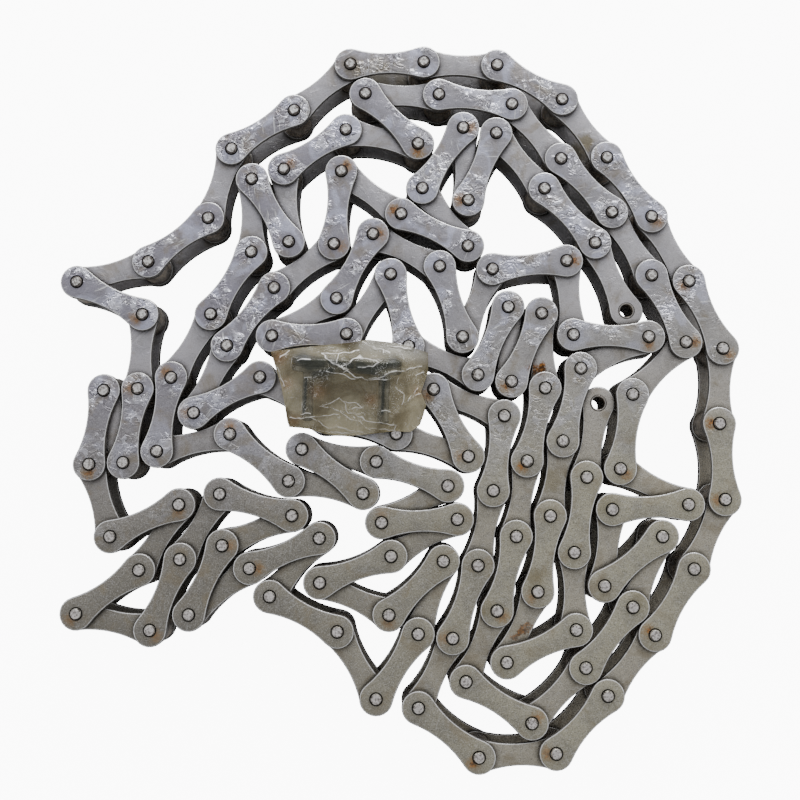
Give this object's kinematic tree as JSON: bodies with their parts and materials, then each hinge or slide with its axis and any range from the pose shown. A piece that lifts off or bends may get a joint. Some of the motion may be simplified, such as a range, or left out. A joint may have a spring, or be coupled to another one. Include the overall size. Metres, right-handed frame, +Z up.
{
  "type": "heap of conveyor roller chain",
  "caption": "Length of steel conveyor roller chain laid flat in a nested heap, both ends free, with a small film bag holding its connecting link.",
  "frame": {"origin": "under the middle of the heap, on the surface that the chain lies on", "axes": "+Z up, out of the flat side plates; +Y towards the top of the picture and +X to its right"},
  "size_m": [0.3458, 0.3688, 0.0582],
  "materials": {
    "chain_steel": "satin rolled steel, greased, with spots of rust beside the pins",
    "connecting_steel": "dark oiled steel",
    "oily_film": "clear film, wrinkled and stained brown with oil"
  },
  "bodies": {
    "chain": {"chain_run_01": "chain_steel", "chain_run_02": "chain_steel", "chain_run_03": "chain_steel", "chain_run_04": "chain_steel", "chain_run_05": "chain_steel", "chain_run_06": "chain_steel", "chain_run_07": "chain_steel", "chain_run_08": "chain_steel", "chain_run_09": "chain_steel", "chain_run_10": "chain_steel", "chain_run_11": "chain_steel", "chain_run_12": "chain_steel", "chain_run_13": "chain_steel", "chain_run_14": "chain_steel", "chain_run_15": "chain_steel", "chain_run_16": "chain_steel", "chain_run_17": "chain_steel", "chain_run_18": "chain_steel", "chain_run_19": "chain_steel", "chain_run_20": "chain_steel", "chain_run_21": "chain_steel", "chain_run_22": "chain_steel", "chain_run_23": "chain_steel", "chain_run_24": "chain_steel", "chain_run_25": "chain_steel", "chain_run_26": "chain_steel", "chain_run_27": "chain_steel", "chain_run_28": "chain_steel", "chain_run_29": "chain_steel", "chain_run_30": "chain_steel", "chain_run_31": "chain_steel", "chain_run_32": "chain_steel", "chain_run_33": "chain_steel", "chain_run_34": "chain_steel", "chain_run_35": "chain_steel", "chain_run_36": "chain_steel", "chain_run_37": "chain_steel", "chain_run_38": "chain_steel", "chain_run_39": "chain_steel", "chain_run_40": "chain_steel", "chain_run_41": "chain_steel", "chain_run_42": "chain_steel", "chain_run_43": "chain_steel", "end_link_b": "chain_steel", "connecting_link": "connecting_steel", "cover_plate": "connecting_steel", "parts_bag": "oily_film"},
    "end_link": {"end_link_a": "chain_steel"}
  },
  "joints": [
    {"name": "end_link_swing", "type": "hinge", "parent": "chain", "child": "end_link", "pos_m": [0.10132, 0.08078, 0.01885], "axis": [0, 0, 1], "range_deg": [-15, 1]}
  ]
}
